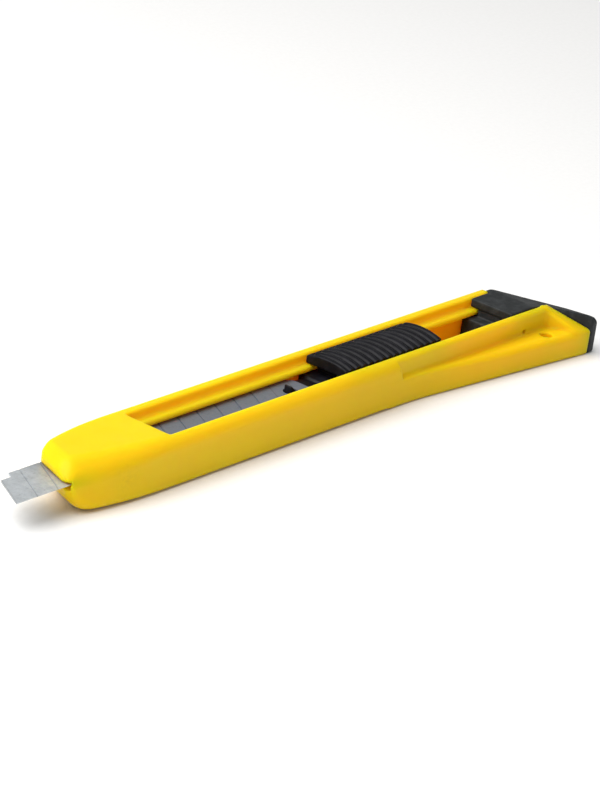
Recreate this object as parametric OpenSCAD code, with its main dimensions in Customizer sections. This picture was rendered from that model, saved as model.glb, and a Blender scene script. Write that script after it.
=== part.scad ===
// Snap-off utility knife for a 9 mm scored blade, with a thumb slider and an end cap.
// +X runs from the nose to the tail, +Z is the thumb side, and -Y is the side of the
// hanging wing. The origin is on the underside, below the blade's centre line, half way
// along the body. All sizes are in millimetres.

/* [Body] */
// Length of the body, from the nose to the rear corner of the wing
body_l = 142.3; // [118:0.1:172]
// Width of the straight channel part, outside
body_w = 14; // [11.6:0.1:18]
// Height of the body, from the underside to the lands beside the slot
body_h = 9.6; // [8:0.1:12]
// Thickness of the channel's floor
floor_t = 1.6; // [1.2:0.1:2.2]
// Length of the closed nose, from its tip to the front end of the slot
nose_l = 24.8; // [21:0.1:28]
// Angle of the nose's front, seen from above
nose_slant = 20.5; // [0:0.5:30]
// How far the lip above the blade stands back from the nose's front
lip_back = 1.2; // [0.5:0.1:2]
// Length over which the nose narrows
nose_taper_l = 20; // [12:0.5:22]
// Radius under the front of the nose
nose_under_r = 6.5; // [3:0.1:6.6]
// Radius along the upper edge of the near side
near_edge_r = 2.6; // [1:0.1:3]
// Radius along the other long edges
edge_r = 0.8; // [0.3:0.1:1]

/* [Channel] */
// Gap between the blade and each side wall of the channel
blade_side_gap = 0.45; // [0.3:0.05:0.8]
// Depth of the side ribs' upper faces below the lands
rib_drop = 1.85; // [1.7:0.05:2.2]
// Thickness of each side rib
rib_t = 1.3; // [1:0.05:1.5]
// How far each side rib stands out from its wall
rib_out = 1.7; // [1.2:0.05:2]
// Gap between the blade and the underside of the ribs
blade_top_gap = 0.27; // [0.15:0.01:0.4]
// Pitch of the click notches, half a blade segment
notch_pitch = 2.5; // [2:0.1:3]
// Radius of a click notch
notch_r = 0.55; // [0.4:0.05:0.7]
// Depth of a click notch
notch_depth = 0.35; // [0.2:0.05:0.45]

/* [Wing] */
// Distance from the wing's front step to the rear corner of the wing
wing_l = 54; // [46:0.1:60]
// How far the wing's rear corner stands out from the channel's side
wing_out = 5; // [3:0.1:7]
// Height of the wing's flat top
wing_h = 5.2; // [4:0.1:6]
// Share of the channel's near wall that is left beside the wing
thin_wall_share = 0.61; // [0.4:0.01:0.9]
// Thickness of the sloping wall at the wing's rear, where it leaves the channel
rear_wall_t = 2; // [1.5:0.1:2.5]
// Angle of that wall's inner face across the knife; its outer face stands at 45
rear_inner_angle = 35; // [30:1:45]
// Fall of that wall's top for each millimetre along it
rear_wall_fall = 0.47; // [0.3:0.01:0.48]
// How much further forward the far wall ends than the near wall
far_wall_short = 5; // [3:0.1:6]
// Diameter of the hanging hole
hole_d = 2.5; // [2:0.1:3]
// Distance of the hanging hole from the wing's rear corner, along the body
hole_back = 10.8; // [10:0.1:13]
// Distance of the hanging hole's centre from the channel's near wall
hole_side = 2.35; // [1.8:0.05:2.6]
// Radius of the cap's latch window
window_r = 0.35; // [0.3:0.05:0.6]
// Distance of the latch window from the near wall's end
window_back = 7.7; // [6:0.1:10]

/* [Blade] */
// Width of the blade
blade_w = 9; // [7.5:0.1:10.8]
// Thickness of the blade
blade_t = 0.4; // [0.3:0.01:0.5]
// How much shorter the blade is than the body
blade_spare = 61.3; // [58:0.1:66]
// Length of one snap-off segment
segment_l = 5; // [4:0.1:6]
// Angle between the score lines and the cutting edge
score_angle = 60; // [50:1:70]
// Depth of a score line
score_depth = 0.1; // [0.05:0.01:0.12]
// Width of a score line
score_w = 0.25; // [0.15:0.01:0.4]
// Width of the ground bevel along the cutting edge
bevel_w = 1.2; // [0.8:0.1:1.6]
// How far the blade's tip stands out of the nose
blade_out = 12.1; // [10:0.1:13]
// Diameter of the hole at the blade's rear
blade_hole_d = 3; // [2.9:0.1:3.6]
// Width of the step at the blade's tip
step_w = 1.35; // [0.8:0.05:2]
// Length of the step at the blade's tip
step_l = 2.4; // [1:0.1:3]

/* [Slider] */
// Length of the thumb pad
pad_l = 28.8; // [22:0.1:36]
// Gap between the thumb pad and each side wall
pad_gap = 0.25; // [0.15:0.05:0.4]
// Thickness of the thumb pad at its edges
pad_t = 1.45; // [1.1:0.05:1.8]
// Rise of the crowned top above the edges
pad_crown = 0.8; // [0.3:0.05:1]
// Pitch of the grip ridges
ridge_pitch = 1.87; // [1.5:0.01:3]
// Radius of a grip ridge
ridge_r = 0.6; // [0.3:0.05:0.7]
// Gap between the moving slider and the channel
slide_gap = 0.2; // [0.12:0.01:0.3]
// Thickness of the tongue under the blade
tongue_t = 2.2; // [1.2:0.1:2.4]
// Width of the tongue under the blade
tongue_w = 7.2; // [4:0.1:7.4]
// Length of the lug that holds the blade
lug_l = 2.3; // [1.6:0.1:2.3]
// Width of the lug that holds the blade
lug_w = 1.6; // [1:0.1:1.6]
// Height of the lug above the blade
lug_h = 1.4; // [0.8:0.1:1.5]
// Diameter of the pegs that hold the pad on the carrier
peg_d = 1.8; // [1.4:0.1:2.2]
// Radial clearance round each peg
peg_gap = 0.05; // [0.02:0.01:0.08]
// Thickness of the lock spring's strip
spring_t = 0.25; // [0.15:0.01:0.3]
// Width of the lock spring's strip
spring_w = 2; // [1.4:0.1:2.2]
// Length of the lock spring
spring_l = 14; // [10:0.5:16]

/* [End cap] */
// Gap between the cap's plug and the channel
cap_gap = 0.1; // [0.05:0.01:0.2]
// Length of the plug's upper flange, inside the far wall
cap_upper_l = 5.9; // [4:0.1:8]
// How much further forward the plug's lower flange reaches
cap_lower_extra = 2.2; // [2:0.1:5]
// Slope of the cap's rear face, across the knife
cap_slope = 0.66; // [0.6:0.01:0.7]
// Thickness of the cap's plate behind the far wall
cap_far_t = 2.2; // [1.2:0.1:2.5]
// Fall of the cap's top toward the rear, for each millimetre along the knife
cap_fall = 0.185; // [0.05:0.005:0.25]

/* [Hidden] */
$fn = 48;
cut = 0.5;                                  // overrun of cutting shapes

yellow = "#f2c61c";
black = "#1c1c20";
steel = "#b4b8be";
spring_steel = "#8f9398";

slot_w = blade_w + 2 * blade_side_gap;
nose_x = -body_l / 2;
tail_x = body_l / 2;
slot_x = nose_x + nose_l;
side_y = body_w / 2;
slot_y = slot_w / 2;
rib_y = slot_y - rib_out;
rib_top = body_h - rib_drop;
rib_low = rib_top - rib_t;
blade_top = rib_low - blade_top_gap;
blade_low = blade_top - blade_t;

slit_gap = 0.2;                             // round the blade, in the nose
slit_low = blade_low - slit_gap;
lip_z = slit_low + 0.1;                     // the upper lip starts here
nose_tip_y = blade_w / 2 + slit_gap + 0.15; // half width of the nose at its tip
nose_taper = side_y - nose_tip_y;
thin_y = slot_y + thin_wall_share * (side_y - slot_y);  // the near wall's outer face, by the wing
step_x = tail_x - wing_l;                   // front step of the wing's recess
flare_x = step_x + wing_l / 10;             // where the wing starts to flare
corner_y = side_y + wing_out;               // the wing's rear corner
near_end_x = tail_x - (corner_y - slot_y);  // near wall's end, on the 45 degree rear face
far_end_x = near_end_x - far_wall_short;
hole_x = tail_x - hole_back;
hole_y = -thin_y - hole_side;

tip_x = nose_x - blade_out;
blade_l = body_l - blade_spare;
blade_end_x = tip_x + blade_l;
lug_x = blade_end_x - 5.6;                  // front of the lug
lug_mid_x = lug_x + lug_l / 2;
carrier_front_x = lug_x - 3.5;
pad_lead = 1.6;                             // the carrier's block starts this far ahead of the pad
base_x = blade_end_x + 3.4;                 // and this far behind the blade
base_l = pad_l + pad_lead;
pad_x = base_x + pad_lead;
ridge_start = 1.6;                          // from the pad's front to its first ridge
ridge_n = 1 + floor((pad_l - ridge_start - 0.9) / ridge_pitch);
pad_low = rib_top + slide_gap;
pad_edge_z = pad_low + pad_t;
pad_y = slot_y - pad_gap;
crown_r = (pad_y * pad_y + pad_crown * pad_crown) / (2 * pad_crown);
base_low = floor_t + slide_gap;
base_top = rib_low - slide_gap;
base_y = slot_y - slide_gap;
neck_y = rib_y - slide_gap;
pocket_d = 1.4;                             // depth of the spring's pocket
cap_upper_x = far_end_x - cap_upper_l;      // front ends of the cap's two flanges
cap_lower_x = cap_upper_x - cap_lower_extra;
click_x = base_x + 11.5;                    // where the spring's bump stands at rest
steps_out = floor((pad_x - slot_x - 1.3) / notch_pitch);               // clicks forward
steps_in = floor((cap_lower_x - 2.5 - base_x - base_l) / notch_pitch); // and back
nose_room_x = carrier_front_x - steps_out * notch_pitch - 1.4;

// Half width of the nose at a distance s behind its tip.
function nose_half(s) = side_y - nose_taper * pow(1 - min(s / nose_taper_l, 1), 2.2);

// Outline of the straight part seen from above, with the nose's taper and slanted front.
module channel_plan() {
    run = 2 * nose_tip_y * tan(nose_slant);
    steps = [for (i = [0:8]) i / 8];
    far = [for (t = steps) [nose_x + run + t * (nose_taper_l - run / 2),
                            nose_half(t * nose_taper_l)]];
    near = [for (t = steps) [nose_x + t * nose_taper_l, -nose_half(t * nose_taper_l)]];
    polygon(concat(
        [for (i = [8:-1:0]) far[i]],
        near,
        [[step_x, -side_y], [step_x, -thin_y], [near_end_x, -thin_y],
         [near_end_x, -slot_y], [far_end_x, -slot_y], [far_end_x, side_y]]));
}

// Outer section across the knife.
module outer_section() {
    union() {
        translate([-side_y, edge_r]) square([2 * side_y, body_h - edge_r - near_edge_r]);
        translate([-side_y + edge_r, 0]) square([2 * (side_y - edge_r), body_h / 2]);
        translate([-side_y + near_edge_r, body_h / 2])
            square([2 * side_y - near_edge_r - edge_r, body_h / 2]);
        translate([0, body_h / 2]) square([side_y, body_h / 2 - edge_r]);
        for (s = [-1, 1]) translate([s * (side_y - edge_r), edge_r]) circle(edge_r);
        translate([side_y - edge_r, body_h - edge_r]) circle(edge_r);
        translate([-side_y + near_edge_r, body_h - near_edge_r]) circle(near_edge_r);
    }
}

// Side view of the nose: a round chin below the blade and a set-back, rounded lip above.
module nose_side() {
    top_r = 1;
    length = body_l * 1.5;
    union() {
        intersection() {
            union() {
                translate([nose_under_r, nose_under_r]) circle(nose_under_r);
                translate([0, nose_under_r]) square([length, body_h]);
            }
            translate([-cut, -cut]) square([length, lip_z + cut]);
        }
        translate([nose_under_r, 0]) square([length, body_h]);
        translate([lip_back, lip_z - cut]) square([length, body_h - lip_z + cut - top_r]);
        translate([lip_back + top_r, lip_z]) square([length, body_h - lip_z]);
        translate([lip_back + top_r, body_h - top_r]) circle(top_r);
    }
}

// Turns a side view into a prism that runs along the nose's slanted front.
module along_front() {
    translate([nose_x, -nose_tip_y, 0]) rotate([0, 0, -nose_slant])
        translate([0, body_l, 0]) rotate([90, 0, 0])
            linear_extrude(2 * body_l) children();
}

// The bar that holds the channel, before the channel is cut.
module bar() {
    intersection() {
        linear_extrude(body_h) channel_plan();
        translate([nose_x - cut, 0, 0]) rotate([90, 0, 90])
            linear_extrude(body_l + 2 * cut) outer_section();
        along_front() nose_side();
    }
}

// The flat wing with the hanging hole, flaring toward the tail.
module wing() {
    linear_extrude(wing_h)
        polygon([[step_x - 1, -slot_y], [step_x - 1, -side_y], [flare_x, -side_y],
                 [tail_x, -corner_y], [near_end_x, -slot_y]]);
}

// The wall along the wing's rear, whose top falls from the channel to the rear corner.
module rear_wall() {
    wall_l = (corner_y - slot_y) * sqrt(2);
    inner_x = near_end_x - rear_wall_t;
    inner_run = (corner_y - slot_y) * tan(rear_inner_angle);
    intersection() {
        linear_extrude(body_h)
            polygon([[inner_x, -slot_y], [near_end_x, -slot_y], [tail_x, -corner_y],
                     [inner_x + inner_run, -corner_y]]);
        translate([near_end_x, -slot_y, 0]) rotate([90, 0, -45])
            translate([0, 0, -wall_l]) linear_extrude(2 * wall_l)
                polygon([[-wall_l, 0], [wall_l, 0], [wall_l, body_h - rear_wall_fall * wall_l],
                         [0, body_h], [-wall_l, body_h]]);
        flare_prism();
    }
}

// Everything on the inner side of the wing's flaring edge.
module flare_prism() {
    linear_extrude(body_h)
        polygon([[step_x - 1, slot_y], [step_x - 1, -side_y], [flare_x, -side_y],
                 [tail_x, -corner_y], [tail_x, slot_y]]);
}

// One side rib, with a rounded inner edge.
module rib_section() {
    r = rib_t / 2;
    translate([rib_y + r, rib_low]) square([rib_out - r + cut, rib_t]);
    translate([rib_y + r, rib_low + r]) circle(r);
}

// The channel's open section: wide below the ribs and wide above them.
module channel_section() {
    difference() {
        translate([-slot_y, floor_t]) square([slot_w, body_h]);
        for (s = [0, 1]) mirror([s, 0]) rib_section();
    }
}

module channel_cut() {
    room = nose_l - (nose_room_x - nose_x);
    translate([slot_x, 0, 0]) rotate([90, 0, 90]) linear_extrude(body_l) channel_section();
    translate([nose_room_x, -slot_y, floor_t]) cube([room + cut, slot_w, rib_low - floor_t]);
    // Room for the lug in the roof of the nose
    translate([nose_room_x, -lug_w / 2 - 0.4, rib_low - cut])
        cube([room + cut, lug_w + 0.8, blade_top + lug_h + 0.3 - rib_low + cut]);
}

// The slit that guides the blade, flared under its front end.
module mouth_cut() {
    flare_l = 3;
    flare_h = 0.9;
    slit_w = blade_w + 2 * slit_gap;
    translate([nose_x - cut, -slit_w / 2, slit_low])
        cube([nose_room_x - nose_x + 2 * cut, slit_w, blade_t + 2 * slit_gap]);
    intersection() {
        translate([nose_x - cut, -slit_w / 2, 0]) cube([nose_l, slit_w, body_h + cut]);
        along_front()
            polygon([[-cut, slit_low - flare_h], [0, slit_low - flare_h],
                     [flare_l, slit_low + 0.1], [-cut, slit_low + 0.1]]);
    }
}

// Notches in the near wall that the lock spring clicks into.
module notch_cuts() {
    for (i = [-steps_out:steps_in])
        translate([click_x + i * notch_pitch, -slot_y + notch_r - notch_depth, floor_t])
            cylinder(h = rib_low - floor_t, r = notch_r, $fn = 24);
}

module body() {
    color(yellow) difference() {
        union() {
            bar();
            wing();
            rear_wall();
        }
        channel_cut();
        mouth_cut();
        notch_cuts();
        translate([hole_x, hole_y, -cut]) cylinder(h = wing_h + 2 * cut, d = hole_d);
        translate([near_end_x - window_back, -slot_y + cut, wing_h + 1.5 * window_r]) rotate([90, 0, 0])
            cylinder(h = thin_y - slot_y + 2 * cut, r = window_r);
    }
}

// The scored blade: slanted tip with a stepped corner, ground edge and a rear hole.
module blade() {
    half = blade_w / 2;
    shift = 1 / tan(score_angle);
    step_y = half - step_w;
    tip_at_step = tip_x + (blade_w - step_w) * shift;
    color(steel) difference() {
        translate([0, 0, blade_low]) linear_extrude(blade_t)
            polygon([[tip_x, -half], [tip_at_step, step_y], [tip_at_step + step_l, step_y],
                     [tip_at_step + step_l + step_w * shift, half],
                     [blade_end_x - 1.5, half], [blade_end_x, half - 1.5],
                     [blade_end_x, -half + 1.5], [blade_end_x - 1.5, -half]]);
        for (i = [1:floor((blade_l - 12) / segment_l)])
            translate([tip_x + i * segment_l, -half, blade_top - score_depth])
                rotate([0, 0, -(90 - score_angle)])
                    translate([-score_w / 2, -1, 0]) cube([score_w, blade_w * 1.5, score_depth * 2]);
        // Ground bevel, on the upper and the lower face
        for (s = [0, 1]) translate([0, 0, (blade_low + blade_top) / 2]) mirror([0, 0, s])
            translate([tip_x - 1, -half, 0]) rotate([90, 0, 90]) linear_extrude(blade_l + 2)
                polygon([[-0.1, 0.05], [bevel_w, blade_t / 2 + 0.001], [bevel_w, blade_t],
                         [-0.1, blade_t]]);
        translate([lug_mid_x, 0, blade_low - cut])
            cylinder(h = blade_t + 2 * cut, d = blade_hole_d);
    }
}

// Side view of the pad's body, turned about the crown's axis, with its grip ridges.
module pad_profile(ridges) {
    translate([0, pad_x]) square([crown_r, pad_l]);
    if (ridges)
        for (i = [0:ridge_n - 1])
            translate([crown_r - ridge_r / 2, pad_x + ridge_start + i * ridge_pitch])
                circle(ridge_r);
}

module crowned(ridges) {
    translate([0, 0, pad_edge_z + pad_crown - crown_r]) rotate([0, 90, 0])
        rotate_extrude($fn = 96) pad_profile(ridges);
}

// The thumb pad with its neck and the two pegs that hold it on the carrier.
module thumb_slider() {
    rear_r = 2;
    top = pad_edge_z + pad_crown + ridge_r / 2;
    border = 0.8;
    color(black) union() {
        intersection() {
            union() {
                crowned(false);
                intersection() {
                    crowned(true);
                    translate([pad_x, -pad_y + border, pad_low])
                        cube([pad_l, 2 * (pad_y - border), top]);
                }
            }
            translate([pad_x, pad_y, 0]) rotate([90, 0, 0]) linear_extrude(2 * pad_y)
                intersection() {
                    translate([0, pad_low]) square([pad_l, top - pad_low]);
                    union() {
                        square([pad_l - rear_r, top]);
                        square([pad_l, top - rear_r]);
                        translate([pad_l - rear_r, top - rear_r]) circle(rear_r);
                    }
                }
        }
        translate([pad_x + 2, -neck_y, base_top]) cube([pad_l - 4, 2 * neck_y, pad_low - base_top + 0.2]);
        for (x = peg_xs()) translate([x, 0, base_top - 2.2]) cylinder(h = 2.6, d = peg_d);
    }
}

function peg_xs() = [pad_x + 6, pad_x + pad_l - 6];

// The carrier below the ribs: a block, a tongue under the blade and the blade's lug.
module blade_carrier() {
    color(black) difference() {
        union() {
            translate([base_x, -base_y, base_low]) cube([base_l, 2 * base_y, base_top - base_low]);
            translate([carrier_front_x, -tongue_w / 2, blade_low - tongue_t])
                cube([base_x - carrier_front_x + cut, tongue_w, tongue_t]);
            lug();
        }
        for (x = peg_xs()) translate([x, 0, base_top - 2.4])
            cylinder(h = 2.4 + cut, d = peg_d + 2 * peg_gap);
        spring_pocket();
    }
}

module lug() {
    translate([lug_x, lug_w / 2, 0]) rotate([90, 0, 0]) linear_extrude(lug_w)
        polygon([[0, blade_low - 0.5], [lug_l, blade_low - 0.5], [lug_l, blade_top],
                 [lug_l * 0.25, blade_top + lug_h], [0, blade_top + lug_h]]);
}

// Room in the carrier's near side for the lock spring.
module spring_pocket() {
    translate([click_x - spring_l / 2, -base_y - cut, spring_low() - 0.15])
        cube([spring_l, pocket_d + cut, spring_w + 0.3]);
}

function spring_low() = (base_low + base_top - spring_w) / 2;

// A bowed strip with a round bump that clicks along the notches.
module lock_spring() {
    seat_y = pocket_d - base_y - spring_t;
    bump_r = 0.45;
    bump_y = 0.05 + bump_r - slot_y;
    half = spring_l / 2;
    foot = half - 3;
    color(spring_steel) translate([click_x, 0, spring_low()]) union() {
        linear_extrude(spring_w)
            polygon([[-half, seat_y], [-foot, seat_y], [0, bump_y], [foot, seat_y],
                     [half, seat_y], [half, seat_y + spring_t], [foot, seat_y + spring_t],
                     [0, bump_y + spring_t], [-foot, seat_y + spring_t],
                     [-half, seat_y + spring_t]]);
        translate([0, bump_y, 0]) cylinder(h = spring_w, r = bump_r, $fn = 24);
    }
}

// Outline of the cap's plate seen from above, closing the slanted rear of the body.
module cap_plan() {
    rear_x = far_end_x + cap_gap + cap_far_t;
    far_y = side_y - 1;
    near_y = corner_y - 0.2;
    gap = cap_gap * sqrt(2);
    polygon([[far_end_x + cap_gap, far_y], [rear_x, far_y],
             [rear_x + cap_slope * (far_y + near_y), -near_y],
             [tail_x + gap - (corner_y - near_y), -near_y],
             [near_end_x + gap, -slot_y],
             [near_end_x + gap, -slot_y + cap_gap],
             [far_end_x + cap_gap, -slot_y + cap_gap]]);
}

// Side view of the cap, whose top falls toward the rear behind the far wall's end.
module cap_side() {
    start_x = far_end_x + 1.2;
    length = tail_x - start_x + 5;
    polygon([[far_end_x - 30, 0], [start_x + length, 0],
             [start_x + length, body_h - cap_fall * length], [start_x, body_h],
             [far_end_x - 30, body_h]]);
}

// The cap: an I-shaped plug in the channel and the plate behind it.
module end_cap() {
    plug_y = slot_y - cap_gap;
    color(black) union() {
        intersection() {
            union() {
                linear_extrude(body_h) cap_plan();
                translate([cap_upper_x, -plug_y, rib_top + cap_gap])
                    cube([far_end_x - cap_upper_x + 1, 2 * plug_y, body_h]);
            }
            translate([0, 30, 0]) rotate([90, 0, 0]) linear_extrude(60) cap_side();
        }
        translate([cap_upper_x + 0.3, -rib_y + cap_gap, rib_low - 1])
            cube([far_end_x - cap_upper_x + 1, 2 * (rib_y - cap_gap), rib_t + 2]);
        translate([cap_lower_x, -plug_y, floor_t + cap_gap])
            cube([far_end_x - cap_lower_x + 1, 2 * plug_y, rib_low - floor_t - 2 * cap_gap]);
    }
}

body();
blade();
thumb_slider();
blade_carrier();
lock_spring();
end_cap();
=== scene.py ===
"""Finished pieces of a snap-off utility knife, built around its CAD frame.

+X runs from the nose to the tail, +Z is the thumb side and -Y the side of the hanging wing.
The moulded pieces are described by their distance functions in millimetres, and meshed where
the distance is zero, so every edge carries the soft radius of a moulded part. The grip ridges
come from a node group, and the steel parts are the frame's own with a finish of their own.
"""

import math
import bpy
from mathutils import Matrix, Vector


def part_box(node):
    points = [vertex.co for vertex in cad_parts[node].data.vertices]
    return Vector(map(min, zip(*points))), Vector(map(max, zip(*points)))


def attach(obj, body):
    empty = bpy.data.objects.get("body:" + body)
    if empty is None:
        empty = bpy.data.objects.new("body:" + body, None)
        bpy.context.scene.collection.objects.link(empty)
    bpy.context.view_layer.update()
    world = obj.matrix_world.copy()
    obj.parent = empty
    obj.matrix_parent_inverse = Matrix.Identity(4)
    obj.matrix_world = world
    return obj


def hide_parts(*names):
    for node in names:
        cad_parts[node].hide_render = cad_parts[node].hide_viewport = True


bl_info = {
    "name": "Snap-off Utility Knife",
    "version": (1, 0, 0),
    "blender": (4, 5, 0),
    "location": "3D View > Sidebar > Knife",
    "description": "Builds the finished pieces of a snap-off utility knife",
    "category": "Object",
}

import bpy
import numpy as np
from bpy.props import FloatProperty, FloatVectorProperty, IntProperty, PointerProperty
from mathutils import Euler, Vector

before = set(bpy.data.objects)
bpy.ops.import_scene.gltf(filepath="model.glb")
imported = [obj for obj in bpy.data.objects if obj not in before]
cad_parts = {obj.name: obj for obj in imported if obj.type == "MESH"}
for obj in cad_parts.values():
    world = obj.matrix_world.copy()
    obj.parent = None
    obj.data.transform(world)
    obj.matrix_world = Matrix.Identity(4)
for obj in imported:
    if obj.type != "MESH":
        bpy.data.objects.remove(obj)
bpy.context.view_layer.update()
MM = 0.001


def cad_box(node):
    """Lowest and highest corner of a CAD node, in millimetres."""
    low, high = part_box(node)
    return np.array(low) / MM, np.array(high) / MM


BODY_LOW, BODY_HIGH = cad_box("body")
BLADE_LOW, BLADE_HIGH = cad_box("blade")
PAD_LOW, PAD_HIGH = cad_box("thumb_slider")
CARRIER_LOW, CARRIER_HIGH = cad_box("blade_carrier")
CAP_LOW, CAP_HIGH = cad_box("end_cap")

# Places that several pieces share, in millimetres.
NOSE_X, TAIL_X = BODY_LOW[0], BODY_HIGH[0]
TOP_Z = BODY_HIGH[2]
SIDE_Y = BODY_HIGH[1]
CORNER_Y = -BODY_LOW[1]
SLOT_Y = (BLADE_HIGH[1] - BLADE_LOW[1]) / 2 + 0.45
NEAR_END_X = TAIL_X - (CORNER_Y - SLOT_Y)
FAR_END_X = NEAR_END_X - 5
SLOT_X = NOSE_X + 24.8
RIB_Y = SLOT_Y - 1.7
RIB_LOW_Z, RIB_TOP_Z = TOP_Z - 3.15, TOP_Z - 1.85
RIB_MIDDLE_Z = (RIB_LOW_Z + RIB_TOP_Z) / 2
FLOOR_Z = 1.6
WING_Z = 5.2
WING_FRONT_X = 14.5
BLADE_MIDDLE_Z = (BLADE_LOW[2] + BLADE_HIGH[2]) / 2
SLIT_Y = (BLADE_HIGH[1] - BLADE_LOW[1]) / 2 + 0.2
RIDGE_RISE = 0.3

# The nose: its front face leans back toward the far side, and its sides close in.
NOSE_SLANT = math.radians(20.5)
NOSE_CORNER_Y = 4.85
NOSE_TAPER = 2.15
LIP_Z = 5.68
ROOM_X = NOSE_X + 10.9


# ---------------------------------------------------------------- distance functions


def ease(t):
    """Smooth step from 0 to 1."""
    t = np.clip(t, 0.0, 1.0)
    return t * t * (3.0 - 2.0 * t)


def both(a, b, radius):
    """Inside both shapes, with their common edge rounded."""
    return np.minimum(np.maximum(a, b), -radius) + np.hypot(
        np.maximum(a + radius, 0.0), np.maximum(b + radius, 0.0)
    )


def either(a, b, radius):
    """Inside either shape, with a fillet where they meet."""
    return np.maximum(np.minimum(a, b), radius) - np.hypot(
        np.maximum(radius - a, 0.0), np.maximum(radius - b, 0.0)
    )


def less(a, b, radius):
    """Inside the first shape and outside the second, with the cut's edge rounded."""
    return both(a, -b, radius)


def rounded_box(x, y, z, low, high, radius):
    """A box between two corners, with rounded edges."""
    qx = np.abs(x - (low[0] + high[0]) / 2) - (high[0] - low[0]) / 2 + radius
    qy = np.abs(y - (low[1] + high[1]) / 2) - (high[1] - low[1]) / 2 + radius
    qz = np.abs(z - (low[2] + high[2]) / 2) - (high[2] - low[2]) / 2 + radius
    outside = np.sqrt(
        np.maximum(qx, 0.0) ** 2 + np.maximum(qy, 0.0) ** 2 + np.maximum(qz, 0.0) ** 2
    )
    return outside + np.minimum(np.maximum(np.maximum(qx, qy), qz), 0.0) - radius


# ---------------------------------------------------------------- meshing


def steps(*stations):
    """Grid stations: (place, step) pairs, each step holding up to the next place."""
    places = []
    for (start, step), (end, _) in zip(stations[:-1], stations[1:]):
        count = max(1, round((end - start) / step))
        places += [start + (end - start) * i / count for i in range(count)]
    return np.array(places + [stations[-1][0]])


def even(low, high, step):
    """Grid stations at one step."""
    return steps((low, step), (high, step))


def skin(name, distance, xs, ys, zs):
    """A closed mesh of quads where the distance function is zero.

    Each grid cell that the surface passes through gets one point, the points of neighbouring
    cells join into quads, and the points then slide along the slope onto the surface.
    """
    grid = np.meshgrid(xs, ys, zs, indexing="ij")
    field = distance(*grid)
    cells = tuple(n - 1 for n in field.shape)

    def corner(values, i, j, k):
        return values[i : cells[0] + i, j : cells[1] + j, k : cells[2] + k]

    corners = [(i, j, k) for i in (0, 1) for j in (0, 1) for k in (0, 1)]
    filled = sum(corner(field, *c) < 0 for c in corners)
    active = (filled > 0) & (filled < 8)
    index = np.full(cells, -1)
    index[active] = np.arange(active.sum())

    total = np.zeros((active.sum(), 3))
    hits = np.zeros(active.sum())
    for a in corners:
        for axis in range(3):
            if a[axis]:
                continue
            b = tuple(1 if n == axis else a[n] for n in range(3))
            fa, fb = corner(field, *a)[active], corner(field, *b)[active]
            crossed = (fa < 0) != (fb < 0)
            t = np.where(crossed, fa / np.where(crossed, fa - fb, 1.0), 0.0)
            pa = np.stack([corner(g, *a)[active] for g in grid], axis=1)
            pb = np.stack([corner(g, *b)[active] for g in grid], axis=1)
            total += (pa + t[:, None] * (pb - pa)) * crossed[:, None]
            hits += crossed
    points = total / hits[:, None]

    quads = []
    for axis in range(3):
        u, v = (axis + 1) % 3, (axis + 2) % 3
        first = [slice(None)] * 3
        second = [slice(None)] * 3
        first[axis], second[axis] = slice(0, -1), slice(1, None)
        inside, beyond = field[tuple(first)] < 0, field[tuple(second)] < 0
        core = [slice(None)] * 3
        core[u], core[v] = slice(1, -1), slice(1, -1)
        core = tuple(core)
        for forward in (True, False):
            crossing = (inside & ~beyond) if forward else (~inside & beyond)
            at = np.argwhere(crossing[core])
            ring = []
            for du, dv in ((-1, -1), (0, -1), (0, 0), (-1, 0)):
                cell = at.copy()
                cell[:, u] += 1 + du
                cell[:, v] += 1 + dv
                ring.append(index[tuple(cell.T)])
            quad = np.stack(ring, axis=1)
            quads.append(quad if forward else quad[:, ::-1])
    quads = np.concatenate(quads)

    nudge, longest_move = 0.01, 0.15
    for _ in range(4):
        value = distance(*points.T)
        slope = np.stack(
            [
                (distance(*(points + nudge * e).T) - distance(*(points - nudge * e).T)) / (2 * nudge)
                for e in np.eye(3)
            ],
            axis=1,
        )
        size = np.maximum((slope**2).sum(axis=1), 0.25)
        move = -(value / size)[:, None] * slope
        reach = np.linalg.norm(move, axis=1)
        points += move * np.minimum(1.0, longest_move / np.maximum(reach, 1e-9))[:, None]

    mesh = bpy.data.meshes.new(name)
    mesh.vertices.add(len(points))
    mesh.vertices.foreach_set("co", (points * MM).astype(np.float32).ravel())
    mesh.loops.add(quads.size)
    mesh.loops.foreach_set("vertex_index", quads.astype(np.int32).ravel())
    mesh.polygons.add(len(quads))
    mesh.polygons.foreach_set("loop_start", np.arange(0, quads.size, 4, dtype=np.int32))
    mesh.polygons.foreach_set("use_smooth", np.ones(len(quads), dtype=bool))
    mesh.update(calc_edges=True)
    mesh.validate()
    return add_piece(name, mesh)


def add_piece(name, mesh):
    """Puts a mesh into the scene as an object."""
    piece = bpy.data.objects.new(name, mesh)
    bpy.context.scene.collection.objects.link(piece)
    return piece


def settle(piece, body, slot, material, *nodes):
    """Gives a piece its finish and its CAD body, and hides the CAD nodes it stands for."""
    piece.data.materials.clear()
    piece.data.materials.append(material)
    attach(piece, body)
    if nodes:
        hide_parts(*nodes)


# ---------------------------------------------------------------- shapes


def nose_front(x, y):
    """Distance behind the nose's slanted front face."""
    return (x - NOSE_X) * math.cos(NOSE_SLANT) - (y + NOSE_CORNER_Y) * math.sin(NOSE_SLANT)


def side_taper(x, start_x, run):
    """How far a side of the body closes in over its run at the nose."""
    return NOSE_TAPER * np.maximum(1 - (x - start_x) / run, 0) ** 2.2


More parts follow.
